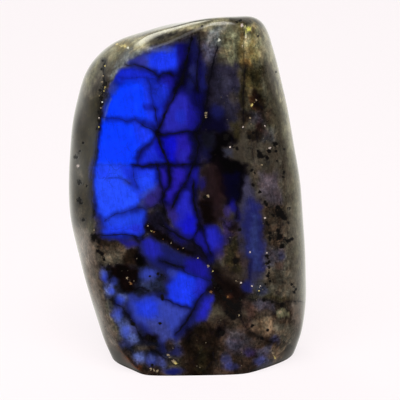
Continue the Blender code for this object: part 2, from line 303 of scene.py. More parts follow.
BLUE = (
    ("ink", 1.0, 10, ((189, 38), (176, 43), (160, 48), (146, 54), (134, 60), (125, 68), (118, 77),
        (113, 87), (109, 97), (104, 108), (101, 120), (98, 136), (95, 150), (93, 164), (92, 178),
        (91, 194), (92, 206), (95, 216), (99, 228), (103, 237), (120, 240), (141, 238), (148, 222),
        (147, 210), (160, 204), (170, 212), (176, 228), (190, 240), (203, 253), (212, 261), (221, 251),
        (223, 238), (216, 227), (203, 226), (198, 206), (198, 180), (200, 160), (201, 135), (204, 110),
        (207, 90), (206, 70), (199, 52), (192, 38))),
    ("blue shade", 1.0, 10, ((140, 240), (152, 237), (170, 247), (190, 257), (207, 264), (212, 279),
        (208, 291), (212, 297), (207, 312), (198, 322), (188, 330), (176, 343), (160, 343), (144, 334),
        (132, 320), (125, 304), (128, 297), (150, 296), (165, 292), (166, 278), (158, 268), (146, 262),
        (138, 250))),
    # the top of the upper sheet
    ("dusk", 1.0, 10, ((132, 60), (146, 54), (156, 52), (152, 71), (138, 68), (124, 68))),
    ("royal", 1.0, 11, ((154, 53), (166, 49), (176, 48), (179, 60), (176, 70), (166, 73), (158, 75),
        (150, 69), (149, 59))),
    ("dim royal", 1.0, 7, ((120, 68), (138, 68), (152, 73), (162, 80), (132, 82), (114, 82))),
    ("night", 1.0, 7, ((160, 77), (174, 76), (175, 86), (166, 92), (158, 84))),
    # the bright panes down its left side
    ("azure", 1.0, 11, ((117, 85), (128, 80), (145, 81), (149, 98), (151, 120), (130, 121), (112, 119),
        (104, 117), (107, 102), (111, 92))),
    ("royal", 0.8, 9, ((143, 81), (151, 81), (153, 96), (156, 112), (157, 128), (146, 122), (145, 100))),
    ("royal", 0.7, 8, ((151, 81), (164, 81), (171, 90), (165, 102), (160, 116), (154, 112), (152, 96))),
    ("dim royal", 0.9, 7, ((155, 104), (166, 102), (160, 118), (158, 130), (154, 118))),
    ("night", 0.5, 5, ((143, 105), (152, 105), (153, 110), (147, 110))),
    # the thin haze blue streak from 111, 97 to 104, 121 is a painted highlight along the sheet's left edge
    ("haze blue", 0.6, 2, ((103, 121), (111, 97), (113, 98), (105, 121))),
    ("azure", 1.0, 9, ((102, 119), (118, 121), (134, 123), (148, 129), (154, 134), (148, 141), (140, 149),
        (136, 158), (134, 170), (110, 170), (93, 169), (96, 150), (99, 136))),
    ("royal", 0.9, 8, ((134, 123), (147, 125), (157, 134), (147, 142), (141, 148), (137, 138))),
    ("dim royal", 1.0, 8, ((156, 136), (161, 144), (165, 154), (168, 163), (150, 163), (137, 164),
        (140, 155), (150, 146))),
    ("pure blue", 0.7, 6, ((156, 138), (162, 146), (166, 158), (160, 156), (155, 146))),
    # the violet panes right of the long crack
    ("violet", 1.0, 12, ((172, 97), (181, 91), (188, 97), (192, 112), (193, 128), (180, 131), (165, 132),
        (160, 128), (164, 112))),
    ("night", 0.9, 8, ((188, 104), (196, 108), (199, 122), (196, 131), (189, 130), (187, 116))),
    ("pure blue", 1.0, 8, ((162, 136), (176, 135), (181, 136), (180, 150), (176, 163), (168, 163),
        (164, 152))),
    ("dim violet", 1.0, 8, ((177, 136), (188, 135), (190, 150), (187, 163), (178, 164), (175, 150))),
    ("violet", 0.7, 7, ((180, 150), (187, 152), (186, 163), (179, 163))),
    # the pale panes below the level crack
    ("pale azure", 1.0, 10, ((95, 164), (112, 164), (126, 166), (130, 184), (140, 192), (142, 204),
        (126, 211), (112, 217), (104, 219), (97, 214), (94, 204), (93, 190), (94, 178))),
    ("royal", 1.0, 9, ((120, 168), (134, 167), (150, 168), (157, 168), (158, 180), (154, 191), (146, 200),
        (141, 200), (136, 188), (127, 178))),
    ("pale azure", 0.7, 9, ((134, 172), (152, 170), (154, 188), (144, 198), (138, 190))),
    ("dim royal", 0.4, 9, ((122, 168), (150, 168), (148, 177), (126, 178))),
    ("slate blue", 0.5, 8, ((140, 196), (156, 182), (160, 190), (158, 204), (146, 206))),
    ("plum", 0.7, 8, ((148, 195), (158, 185), (163, 191), (161, 203), (150, 207), (145, 205))),
    ("dim violet", 0.9, 6, ((159, 168), (166, 168), (168, 182), (163, 192), (161, 182))),
    ("pale azure", 0.85, 10, ((102, 221), (116, 216), (130, 211), (145, 209), (145, 222), (140, 235),
        (120, 236), (104, 236))),
    ("royal", 0.7, 9, ((104, 227), (142, 225), (141, 237), (104, 237))),
    ("slate blue", 0.5, 8, ((92, 214), (100, 220), (104, 236), (96, 238))),
    ("dim violet", 1.0, 7, ((174, 168), (184, 167), (186, 175), (181, 188), (172, 203), (167, 201),
        (164, 194), (171, 185))),
    ("night", 1.0, 8, ((186, 168), (197, 167), (199, 182), (194, 190), (187, 186))),
    ("blue", 1.0, 9, ((184, 192), (191, 190), (194, 206), (197, 222), (193, 237), (184, 235), (176, 227),
        (171, 214), (177, 204))),
    ("pure blue", 0.7, 8, ((186, 214), (196, 216), (194, 236), (184, 234), (180, 226))),
    ("blue", 1.0, 11, ((203, 229), (214, 228), (221, 236), (221, 248), (211, 253), (204, 242))),
    ("night", 0.9, 6, ((196, 230), (203, 235), (209, 250), (203, 252), (194, 241))),
    ("dark navy", 0.7, 9, ((147, 214), (158, 207), (166, 211), (172, 228), (188, 240), (204, 253),
        (212, 264), (202, 265), (186, 256), (164, 244), (148, 237), (145, 226))),
    ("night", 0.5, 8, ((166, 224), (178, 230), (190, 240), (182, 244), (170, 236))),
    ("brown black", 0.8, 4, ((143, 226), (150, 224), (160, 232), (176, 243), (192, 252), (190, 256),
        (172, 248), (156, 238), (146, 232))),
    ("plum", 0.9, 7, ((165, 206), (173, 204), (178, 214), (177, 224), (169, 217))),
    # the lower sheet
    ("blue", 0.8, 9, ((140, 240), (150, 237), (158, 245), (162, 254), (154, 258), (146, 255))),
    ("night", 0.8, 6, ((118, 239), (136, 240), (139, 246), (128, 248))),
    ("night", 1.0, 8, ((186, 259), (198, 258), (208, 267), (210, 280), (196, 277), (185, 270))),
    ("royal", 1.0, 9, ((175, 273), (186, 271), (196, 277), (204, 281), (204, 291), (198, 299), (190, 308),
        (178, 305), (167, 299), (169, 286))),
    ("blue", 0.8, 8, ((198, 277), (210, 282), (206, 292), (198, 300), (194, 290))),
    ("dusk", 1.0, 10, ((128, 301), (145, 296), (162, 298), (176, 306), (188, 312), (180, 326), (172, 341),
        (162, 340), (154, 330), (142, 326), (131, 315))),
    ("royal", 0.7, 10, ((134, 301), (150, 298), (158, 304), (158, 314), (146, 319), (136, 312))),
    ("slate blue", 0.6, 10, ((146, 320), (166, 322), (172, 334), (166, 344), (152, 336))),
    ("blue", 1.0, 8, ((197, 311), (204, 299), (212, 297), (210, 308), (203, 319), (197, 319))),
)

# Soft spots of colour over the shapes: colour, strength, and place, half width and half height in pixels.
SPOTS = (
    ("haze blue", 0.5, (160, 49, 16, 5)), ("royal", 0.5, (166, 62, 9, 9)), ("plum", 0.4, (140, 62, 9, 6)),
    ("night", 0.6, (182, 56, 6, 14)), ("blue shade", 0.8, (192, 46, 7, 12)),
    ("steel", 0.6, (196, 62, 5, 20)), ("slate blue", 0.3, (196, 76, 4, 9)),
    ("blue shade", 0.7, (190, 84, 6, 12)), ("blue shade", 0.9, (192, 76, 6, 12)),
    ("slate blue", 0.35, (192, 70, 5, 7)), ("blue shade", 0.8, (203, 84, 5, 12)),
    ("steel", 0.6, (205, 68, 4, 10)), ("dusk", 0.6, (113, 88, 5, 7)), ("teal", 0.6, (107, 98, 4, 10)),
    ("slate blue", 0.5, (104, 112, 3, 10)), ("navy", 0.8, (197, 140, 5, 9)),
    ("navy", 0.7, (194, 155, 5, 9)), ("royal", 0.4, (181, 116, 6, 9)), ("navy", 0.7, (216, 112, 8, 10)),
    ("blue shade", 0.6, (217, 112, 8, 9)), ("pale slate", 0.4, (226, 80, 6, 12)),
    ("slate", 0.8, (236, 84, 5, 10)), ("shade", 0.6, (234, 98, 6, 8)),
    ("slate blue", 0.5, (92, 180, 4, 26)), ("teal", 0.6, (95, 152, 3, 14)),
    ("royal", 0.5, (104, 172, 8, 6)), ("dusk", 0.5, (127, 182, 6, 4)), ("plum", 0.7, (152, 201, 6, 5)),
    ("slate blue", 0.6, (143, 205, 5, 5)), ("blue", 0.6, (136, 228, 7, 6)),
    ("navy", 0.6, (203, 152, 4, 8)), ("night", 0.5, (203, 184, 4, 9)), ("night", 0.8, (234, 206, 5, 8)),
    ("ink", 0.7, (237, 216, 4, 8)), ("plum", 0.6, (227, 211, 5, 8)), ("plum", 0.5, (218, 252, 6, 12)),
    ("ink", 0.8, (210, 258, 6, 7)), ("brown black", 0.7, (233, 228, 5, 4)),
    ("brown black", 0.9, (236, 261, 5, 4)), ("navy", 0.8, (250, 270, 3, 14)),
    ("blue shade", 0.9, (247, 287, 7, 8)), ("teal", 0.7, (262, 290, 7, 7)),
    ("teal", 0.8, (149, 284, 12, 8)), ("dusk", 1.0, (149, 274, 11, 9)),
    ("slate blue", 0.5, (151, 281, 6, 5)), ("dusk", 0.7, (172, 273, 6, 7)),
    ("teal", 0.6, (162, 286, 5, 6)), ("slate blue", 1.0, (104, 274, 6, 8)),
    ("haze blue", 0.7, (104, 272, 4, 6)), ("haze blue", 1.0, (110, 289, 7, 10)),
    ("dusk", 0.6, (114, 281, 5, 6)), ("dusk", 0.7, (132, 297, 8, 5)),
    ("slate blue", 0.9, (121, 307, 6, 5)), ("royal", 0.4, (112, 291, 4, 5)),
    ("haze blue", 0.9, (121, 298, 7, 6)), ("royal", 0.5, (119, 301, 6, 6)),
    ("royal", 0.4, (105, 276, 4, 6)), ("slate blue", 0.9, (118, 312, 8, 9)),
    ("haze blue", 0.8, (119, 318, 5, 8)), ("haze blue", 1.0, (125, 330, 8, 11)),
    ("royal", 0.3, (120, 314, 5, 7)), ("royal", 0.3, (126, 332, 5, 8)),
    ("slate blue", 0.8, (134, 330, 5, 6)), ("haze blue", 0.9, (132, 339, 7, 7)),
    ("slate blue", 0.7, (126, 344, 7, 5)), ("haze blue", 0.9, (139, 357, 7, 8)),
    ("dusk", 0.7, (151, 361, 7, 8)), ("haze blue", 0.6, (151, 359, 5, 5)),
    ("slate blue", 0.9, (162, 362, 7, 7)), ("blue shade", 1.0, (173, 371, 12, 5)),
    ("blue shade", 0.7, (176, 352, 8, 8)), ("shade", 0.8, (141, 348, 9, 5)),
    ("brown black", 1.0, (151, 338, 9, 5)), ("blue shade", 0.6, (164, 348, 7, 6)),
    ("umber", 0.8, (170, 345, 6, 8)), ("shade", 0.7, (172, 360, 7, 6)), ("umber", 0.9, (150, 348, 8, 3)),
    ("slate blue", 0.2, (234, 346, 11, 9)), ("slate blue", 0.7, (227, 360, 6, 8)),
    ("dusk", 0.4, (231, 367, 10, 5)), ("slate blue", 0.8, (260, 362, 9, 6)),
    ("slate blue", 0.5, (275, 340, 7, 5)), ("umber", 0.9, (247, 366, 6, 6)),
    ("plum", 0.4, (250, 352, 7, 6)), ("slate", 0.9, (281, 256, 5, 6)), ("rose", 0.7, (279, 267, 6, 5)),
    ("rust", 0.3, (229, 297, 4, 3)), ("maroon", 0.9, (211, 292, 6, 4)), ("black", 0.6, (219, 289, 6, 5)),
    ("black", 0.8, (221, 331, 5, 6)), ("black", 0.7, (188, 334, 5, 10)), ("shade", 0.6, (236, 322, 6, 5)),
    # the shade and black spots from 159 to 204 across paint the lens's dark reflection; mist at 186, 37 is a
    # painted highlight
    # the straw spot at 142, 44 is a painted highlight at the lens's blunt end, and the one at 249, 30 a painted
    # glint
    ("straw", 0.5, (142, 44, 6, 5)), ("straw", 0.8, (249, 30, 3, 5)), ("shade", 0.9, (163, 37, 14, 5)),
    ("black", 0.9, (159, 37, 6, 1.8)), ("black", 0.9, (171, 33, 7, 1.6)),
    ("shade", 0.9, (182, 32, 7, 2.5)), ("mist", 0.5, (186, 37, 5, 2)), ("shade", 0.8, (204, 31, 6, 5)),
    ("shade", 0.7, (202, 36, 4, 6)), ("dark olive", 0.7, (83, 150, 4, 11)),
    ("dark olive", 0.8, (82, 170, 5, 5)), ("taupe", 0.9, (80, 174, 4, 4)),
    ("taupe", 0.6, (82, 211, 6, 6)), ("moss", 0.5, (92, 226, 5, 8)), ("shade", 0.7, (83, 120, 4, 10)),
)

# Where the mottling is faint: strength, softness of the edge in pixels, corners.
CALM = (
    (0.50, 12, ((60, 60), (104, 60), (106, 100), (98, 160), (94, 236), (100, 262), (108, 316), (130, 360),
        (100, 388), (60, 300))),
    (0.55, 12, ((80, 90), (100, 50), (150, 26), (240, 14), (240, 30), (200, 30), (150, 50), (110, 80))),
    (0.70, 14, ((262, 20), (330, 20), (330, 380), (296, 380), (291, 300), (287, 200), (276, 130),
        (264, 70))),
    (0.60, 12, ((196, 60), (240, 60), (240, 130), (198, 134))),
    (0.80, 12, ((200, 132), (246, 132), (250, 170), (264, 210), (264, 284), (244, 284), (236, 220),
        (200, 230))),
    (0.60, 12, ((206, 262), (246, 270), (246, 320), (210, 320))),
    (0.40, 12, ((246, 140), (284, 140), (284, 200), (262, 204))),
)

# Cracks of the front: half width in pixels, darkness, half width of the dark seam round it, and the way
# they run. The line is drawn at one share of that half width, and the seam at another share of the
# darkness.
CRACK_SHARE = 0.75
SEAM_STRENGTH = 0.45
CRACKS = (
    (2.2, 1.0, 5.0, ((191, 38), (188, 54), (185, 68), (183, 80), (177, 90))),
    (1.2, 1.0, 2.6, ((177, 90), (172, 100), (167, 109), (162, 121), (158, 132))),
    (3.0, 1.0, 4.0, ((186, 62), (184, 74), (181, 84))),
    (0.7, 0.9, 2.2, ((126, 64), (136, 65), (147, 69), (154, 73), (158, 77))),
    (1.0, 0.9, 2.4, ((159, 76), (163, 74), (168, 74), (173, 76))),
    (0.4, 0.35, 1.5, ((120, 78), (136, 77), (150, 78), (160, 80))),
    (0.4, 0.15, 1.6, ((139, 81), (141, 96), (147, 110))),
    (0.5, 0.45, 2.4, ((149, 80), (152, 96), (154, 108))),
    (0.7, 0.8, 2.8, ((154, 108), (157, 122), (158, 131))),
    (0.6, 0.45, 1.6, ((103, 117), (113, 118), (120, 119), (127, 121), (134, 121), (142, 125))),
    (0.9, 0.75, 2.4, ((142, 125), (150, 129), (158, 133))),
    (1.0, 0.9, 2.2, ((158, 133), (166, 135), (176, 133), (188, 131), (196, 132), (201, 134))),
    (1.6, 0.97, 3.4, ((158, 133), (161, 145), (166, 156), (169, 166), (171, 178))),
    (1.1, 0.97, 3.0, ((171, 178), (170, 185), (165, 191), (163, 200), (165, 212), (169, 223))),
    (0.6, 0.45, 2.6, ((156, 134), (151, 142), (142, 149), (139, 157), (136, 166))),
    (0.5, 0.20, 1.4, ((90, 166), (108, 165), (122, 166), (134, 165))),
    (1.1, 0.9, 2.6, ((133, 165), (142, 166), (150, 164), (158, 163))),
    (0.8, 0.85, 2.2, ((158, 163), (172, 165), (186, 164), (204, 163))),
    (1.3, 0.97, 3.6, ((197, 134), (199, 146), (195, 160), (189, 173), (184, 185), (178, 197),
        (172, 207))),
    (0.7, 0.9, 2.6, ((157, 165), (159, 175), (161, 188), (163, 198))),
    (0.6, 0.5, 2.8, ((133, 168), (134, 178), (137, 188))),
    (0.4, 0.6, 1.5, ((108, 177), (117, 178), (124, 180), (130, 184))),
    (0.5, 0.55, 1.3, ((104, 221), (118, 214), (130, 210), (138, 207), (148, 209), (160, 204))),
    (0.8, 0.9, 2.4, ((93, 236), (110, 235), (122, 234), (132, 236), (141, 237), (147, 230))),
    (0.8, 0.9, 2.5, ((136, 237), (139, 242), (143, 238))),
    (1.6, 0.97, 4.0, ((193, 182), (194, 200), (197, 214), (202, 229))),
    (0.8, 0.97, 2.8, ((202, 229), (206, 242), (211, 254))),
    (0.7, 0.9, 2.4, ((199, 228), (195, 234), (191, 240))),
    (1.4, 0.9, 3.4, ((162, 260), (172, 264), (184, 268))),
    (0.6, 0.7, 3.0, ((184, 271), (196, 277), (209, 281))),
    (1.2, 0.95, 3.4, ((209, 287), (201, 296), (196, 304), (191, 314), (184, 324), (176, 334))),
    (0.6, 0.85, 2.2, ((158, 297), (170, 301), (180, 306), (189, 309))),
    (0.7, 0.7, 2.8, ((104, 266), (108, 272), (111, 280), (108, 286))),
    (1.3, 0.97, 4.5, ((217, 46), (214, 60), (211, 76), (208, 94))),
    (2.2, 0.97, 6.0, ((208, 94), (206, 108), (203, 122), (200, 134))),
    (1.0, 0.9, 3.6, ((200, 34), (199, 50), (198, 64), (197, 78), (198, 90))),
    (0.8, 0.6, 3.0, ((188, 76), (194, 84), (198, 92))),
    (0.8, 0.9, 2.4, ((247, 166), (243, 180), (240, 192), (237, 206), (235, 218))),
    (0.6, 0.7, 2.6, ((243, 297), (256, 300), (270, 300), (282, 304), (292, 301), (303, 302))),
    (0.6, 0.6, 2.0, ((243, 304), (239, 315), (244, 325), (252, 333), (262, 338))),
    (0.6, 0.6, 2.0, ((204, 320), (211, 332), (219, 338), (226, 330), (224, 320))),
    (0.5, 0.5, 2.0, ((262, 338), (272, 344), (284, 342), (294, 348))),
    (0.5, 0.5, 1.8, ((256, 130), (258, 142), (252, 150), (254, 164), (248, 176))),
    (0.5, 0.5, 1.8, ((224, 222), (231, 230), (229, 244), (236, 258), (232, 272))),
    (0.6, 0.45, 1.6, ((244, 30), (244, 52), (244, 66))),
    (1.6, 0.9, 2.4, ((104, 60), (103, 70), (104, 84), (102, 98), (100, 112), (99, 130))),
    (0.9, 0.8, 2.6, ((244, 66), (244, 100), (243, 124))),
    (0.8, 0.8, 2.0, ((110, 300), (122, 307), (134, 324), (143, 342))),
    (0.9, 0.9, 2.0, ((134, 289), (141, 287), (148, 291))),
    (0.5, 0.7, 2.4, ((101, 112), (97, 136), (94, 160), (91, 190), (93, 214))),
    (0.5, 0.8, 2.0, ((145, 343), (150, 348), (158, 353), (166, 358), (174, 361))),
    (1.4, 0.9, 3.0, ((160, 224), (170, 231), (180, 236), (190, 240), (199, 248), (206, 257))),
    (0.6, 0.6, 1.5, ((210, 266), (218, 276), (226, 284))),
)

# Black specks of the front: place and radius in pixels.
SPECKS = (
    (226, 137, 3.0), (249, 137, 2.0), (253, 133, 1.6), (243, 128, 1.4), (231, 146, 1.8), (237, 149, 2.0),
    (258, 151, 1.4), (260, 155, 3.6), (269, 151, 2.2), (267, 158, 2.0), (275, 144, 2.4), (276, 151, 1.5),
    (284, 149, 1.1), (277, 161, 1.1), (252, 170, 1.6), (255, 173, 1.2), (253, 185, 1.5), (284, 172, 1.4),
    (283, 177, 1.5), (297, 171, 1.0), (260, 192, 1.8), (265, 202, 1.5), (267, 205, 1.5), (277, 207, 2.0),
    (280, 213, 5.2), (273, 215, 1.4), (285, 218, 2.6), (290, 208, 1.1), (289, 223, 1.1), (266, 222, 1.4),
    (269, 225, 1.7), (270, 233, 1.8), (270, 239, 2.0), (278, 231, 2.0), (279, 237, 3.6), (282, 246, 3.0),
    (288, 241, 2.4), (292, 239, 1.8), (240, 230, 1.8), (268, 258, 1.2), (269, 262, 1.7), (269, 268, 1.0),
    (269, 273, 1.4), (270, 281, 1.1), (265, 284, 1.0), (292, 284, 1.7), (294, 292, 1.7), (296, 289, 1.1),
    (236, 261, 2.6), (282, 305, 2.6), (268, 330, 1.6), (262, 338, 1.8), (252, 326, 1.6), (103, 61, 1.4),
    (102, 69, 1.8), (105, 84, 3.0), (100, 90, 1.7), (101, 98, 2.4), (102, 104, 1.8), (99, 112, 1.6),
    (99, 121, 1.8), (97, 129, 1.5), (83, 143, 1.5), (80, 151, 1.2), (76, 157, 2.2), (79, 182, 2.6),
    (79, 200, 2.8), (81, 203, 1.8), (83, 220, 2.2), (87, 186, 1.4), (72, 137, 1.2), (94, 237, 3.4),
    (99, 242, 2.0), (98, 251, 2.2), (102, 254, 2.0), (104, 260, 1.5), (108, 269, 2.0), (133, 324, 2.0),
    (160, 323, 1.7), (150, 276, 1.2), (158, 274, 1.6), (162, 275, 1.0), (148, 337, 2.0), (155, 341, 2.4),
    (94, 302, 1.4), (94, 306, 1.2), (100, 316, 1.2), (103, 322, 0.9), (105, 327, 0.9), (202, 26, 1.2),
    (241, 20, 1.1), (237, 22, 1.0), (258, 36, 1.2), (269, 35, 1.3), (276, 72, 1.1), (205, 197, 2.2),
    (163, 299, 1.8), (162, 296, 1.8), (152, 365, 1.2), (212, 280, 1.2), (267, 256, 1.6), (266, 264, 1.4),
    (268, 276, 1.6), (222, 333, 2.6), (264, 300, 1.8), (272, 302, 1.6), (229, 303, 3.6), (237, 307, 4.4),
    (227, 312, 2.6), (240, 299, 2.4), (233, 317, 3.2), (224, 298, 2.0), (215, 284, 2.2), (221, 291, 1.8),
    (216, 296, 1.6), (231, 291, 1.4), (240, 316, 1.8),
)

# Bright grains of the front, partly flecks' own colour, partly painted glints: place, radius in pixels, colour.
GRAIN_GLINT_COLOURS = {
    "gold": (0.52, 0.42, 0.13),
    "yellow": (0.62, 0.60, 0.12),
    "white": (0.66, 0.66, 0.56),
    "pink": (0.50, 0.42, 0.38),
    "rust": (0.16, 0.07, 0.02),
    "tan": (0.26, 0.20, 0.12),
}
GRAIN_GLINTS = (
    (105, 66, 0.9, "gold"), (102, 82, 0.9, "tan"), (105, 87, 0.9, "gold"), (101, 108, 0.9, "tan"),
    (117, 44, 1.5, "gold"), (121, 46, 1.0, "gold"), (125, 46, 2.0, "gold"), (128, 48, 1.2, "white"),
    (103, 76, 1.0, "tan"), (104, 91, 0.8, "gold"), (99, 96, 0.7, "tan"), (102, 102, 0.7, "white"),
    (99, 118, 0.8, "pink"), (99, 127, 0.7, "gold"), (78, 166, 1.6, "pink"), (94, 230, 1.0, "tan"),
    (219, 40, 1.4, "white"), (217, 42, 0.8, "white"), (242, 25, 1.8, "pink"), (249, 29, 2.6, "yellow"),
    (247, 31, 1.6, "yellow"), (246, 37, 1.0, "white"), (236, 41, 1.0, "pink"), (242, 47, 0.7, "tan"),
    (206, 113, 1.4, "tan"), (206, 117, 1.0, "tan"), (252, 105, 1.5, "gold"), (256, 100, 1.0, "tan"),
    (265, 126, 0.9, "pink"), (250, 118, 1.0, "tan"), (251, 124, 1.0, "tan"), (243, 127, 1.1, "pink"),
    (208, 196, 1.6, "tan"), (148, 226, 0.9, "tan"), (154, 232, 1.0, "rust"), (151, 231, 0.6, "gold"),
    (163, 239, 0.6, "rust"), (171, 243, 0.7, "tan"), (178, 249, 0.6, "rust"), (183, 248, 0.6, "tan"),
    (198, 258, 0.9, "gold"), (208, 266, 1.2, "tan"), (213, 271, 0.7, "gold"), (236, 281, 0.6, "tan"),
    (241, 283, 0.9, "pink"), (252, 286, 0.8, "pink"), (260, 286, 0.9, "pink"), (259, 291, 1.0, "gold"),
    (250, 252, 1.0, "pink"), (267, 253, 1.0, "pink"), (230, 147, 1.0, "pink"), (270, 148, 1.3, "pink"),
    (262, 165, 1.0, "tan"), (265, 218, 1.0, "pink"), (127, 278, 1.5, "tan"), (131, 284, 1.2, "rust"),
    (173, 361, 1.6, "tan"), (176, 363, 1.3, "gold"), (151, 369, 1.6, "tan"), (157, 371, 1.6, "tan"),
    (168, 355, 1.3, "tan"), (273, 353, 1.5, "tan"), (275, 358, 1.3, "gold"), (280, 312, 2.0, "tan"),
    (228, 297, 1.3, "rust"), (211, 292, 1.6, "rust"), (239, 315, 1.1, "tan"),
)

# The back, seen from behind, in millimetres right and up from the heart: its shapes and cracks.
BACK_SHAPES = (
    ("taupe", 0.7, 6, ((-32, 16), (-22, 40), (4, 46), (-4, 24), (-22, 2))),
    ("rose", 0.7, 6, ((-34, -10), (-14, -18), (-14, -46), (-36, -44))),
    ("umber", 0.9, 5, ((-8, 28), (22, 26), (30, -6), (20, -36), (-2, -34), (-12, -6))),
    ("steel", 0.8, 7, ((-10, 24), (-2, 32), (10, 26), (16, 12), (12, -2), (-4, 8))),
    ("ink", 0.9, 4, ((-8, 10), (4, 14), (18, 6), (24, -12), (18, -30), (6, -34), (-4, -20), (-10, -4))),
    ("night", 0.9, 3, ((-4, 6), (6, 10), (16, 2), (20, -14), (12, -26), (2, -18), (-4, -6))),
    ("royal", 0.8, 3, ((0, 5), (6, 7), (12, 0), (10, -10), (2, -8), (-2, -2))),
    ("dim royal", 0.9, 2.5, ((5, -13), (15, -9), (17, -19), (9, -25))),
    ("pale slate", 0.7, 6, ((-24, -22), (-8, -28), (-4, -46), (-22, -48))),
)
BACK_CRACKS = (
    (0.35, 0.9, 1.2, ((-10, 32), (-4, 14), (-2, 2), (4, -10), (2, -26))),
    (0.30, 0.9, 1.0, ((-14, 2), (-2, 2), (10, 0), (24, 4))),
    (0.28, 0.8, 1.0, ((4, -10), (14, -14), (24, -12))),
    (0.40, 0.9, 1.2, ((16, 22), (14, 8), (20, -4), (18, -28))),
    (0.25, 0.7, 0.8, ((-24, -20), (-8, -22), (6, -28))),
)
BACK_SPECKS = (
    (-20, 26, 0.8), (-16, 22, 0.5), (-23, 18, 0.6), (-18, 12, 0.9), (-26, 6, 0.7), (-22, -4, 0.5),
    (-16, -8, 0.8), (24, 18, 0.6), (27, 10, 0.9), (22, 12, 0.5), (-28, -22, 0.8), (-24, -32, 0.6),
    (-10, -36, 0.9), (0, -40, 0.6), (26, -30, 0.8), (20, -38, 0.6),
)

# Smooth drifts over the surface: their size in millimetres, the number of their pattern and their octaves.
# Each number moves the pattern by this much, in its own size.
NUMBER_MOVES = (17.3, 5.1, 29.7)
WOBBLES = ((5.0, 1, 3), (5.0, 2, 3))
RIPPLES = ((1.6, 3, 2), (1.6, 4, 2))
CLOUDS = (9.0, 5, 4)

# How far wobble and ripple bend what is painted: in pixels on the front, in millimetres on the back.
ROCK_BEND = (3.0, 2.6)
BLUE_BEND = (2.0, 1.3)
CRACK_BEND = (1.4, 0.8)
BACK_BEND = (2.6, 1.2)
BACK_CRACK_BEND = (0.5, 0.2)

# The plain body between the shapes: how the clouds turn olive rock to shade and then to umber.
SHADE_CLOUDS = (-0.3, 0.3)
UMBER_CLOUDS = (0.1, 0.7)

# How much a point faces the camera, 1 straight on and 0 at the outline: between which values the back's
# colours turn to the front's and how far wobble and ripple move them, and from where the front has its
# cracks and its specks.
FRONT_COLOURS = (-0.45, 0.05)
FRONT_COLOURS_BEND = (0.22, 0.10)
FRONT_CRACKS_FROM = -0.05
FRONT_SPECKS_FROM = 0.30

# The shares of blue in a point's light between which the mottling fades, and where a soft spot's rim begins
# and ends, in its half sizes.
BLUE_CALM = (0.45, 0.85)
SPOT_RIM = (0.30, 1.25)

# What a field says where no crack, speck or grain is near, in half widths or radii.
FAR_OFF = 9.0

# The material's noises: scale for each millimetre, detail and roughness.
NOISES = {
    "clouds": (0.30, 7.0, 0.66),
    "grit": (1.3, 4.0, 0.70),
    "lamellae": (1.0, 3.0, 0.6),
    "warmth": (0.42, 4.0, 0.6),
    "net bend": (0.35, 2.0, 0.5),
    "net patches": (0.12, 2.0, 0.5),
    "crack waver": (1.1, 3.0, 0.5),
    "crack width": (0.5, 2.0, 0.5),
    "speck edge": (1.1, 3.0, 0.65),
    "dust": (0.9, 5.0, 0.75),
    "grain edge": (2.6, 3.0, 0.7),
    "haze": (0.5, 4.0, 0.5),
    "polish": (0.35, 2.0, 0.5),
}
NET_SCALE = 0.16
SPARK_SCALE = 1.1

# How often each mottling doubles the light in the body, on top of how often it does so everywhere, and
# the most light.
MOTTLING = {"clouds": (7.0, 1.6), "grit": (3.8, 0.7), "lamellae": (0.4, 1.0)}
MOST_LIGHT = 2.6

# The lamellae lean by this angle in radians, and their noise is stretched along their length.
LAMELLAE_LEAN = 0.16
LAMELLAE_STRETCH = (2.4, 0.5, 0.16)

# Where each soft step of the material begins and ends, in the units of what it is taken from.
STEPS = {
    "warmth": (0.42, 0.60),
    "hairs": (0.004, 0.022),
    "net patches": (0.46, 0.60),
    "crack": (0.20, 1.25),
    "crack end": (2.0, 3.4),
    "speck": (0.80, 1.15),
    "mark end": (1.8, 2.6),
    "dust": (0.665, 0.70),
    "grain": (0.50, 0.95),
    "spark": (0.10, 0.22),
    "spark choice": (0.955, 0.965),
}

# Colours of the material, in light. Cool and warm are shares that tint the body.
COOL = (0.93, 1.01, 1.00, 1.0)
WARM = (1.08, 0.99, 0.90, 1.0)
HAIR = (0.004, 0.004, 0.012, 1.0)
CRACK = (0.0022, 0.0020, 0.0045, 1.0)
SPECK = (0.0045, 0.0038, 0.0036, 1.0)
SPARK = (0.20, 0.17, 0.11, 1.0)

# Strengths of the marks, and how far noise moves their edges: the net in millimetres, the others in half
# widths or radii.
NET_BEND = (3.0, 3.0, 3.0)
HAIR_STRENGTH = 0.30
CRACK_WAVER = 1.4
CRACK_THINNING = 2.4
CRACK_POWER = 1.5
SPECK_RAGGED = 2.6
DUST_STRENGTH = 0.75
GRAIN_GLINT_RAGGED = 4.0
SPARK_STRENGTH = 0.7

# The gloss: the roughness of the polish, how much haze and marks add to it, and how much a pit takes off
# the mirror.
POLISH_ROUGHNESS = 0.05
HAZE_ROUGHNESS = 0.08
MARK_ROUGHNESS = 0.22
MIRROR = 0.5
PIT_LOSS = 0.42
FELDSPAR_IOR = 1.56

# The finest relief in millimetres, and the strength of it.
PIT_DEPTH = 0.03
POLISH_WAVES = 0.03
RELIEF_STRENGTH = 0.6


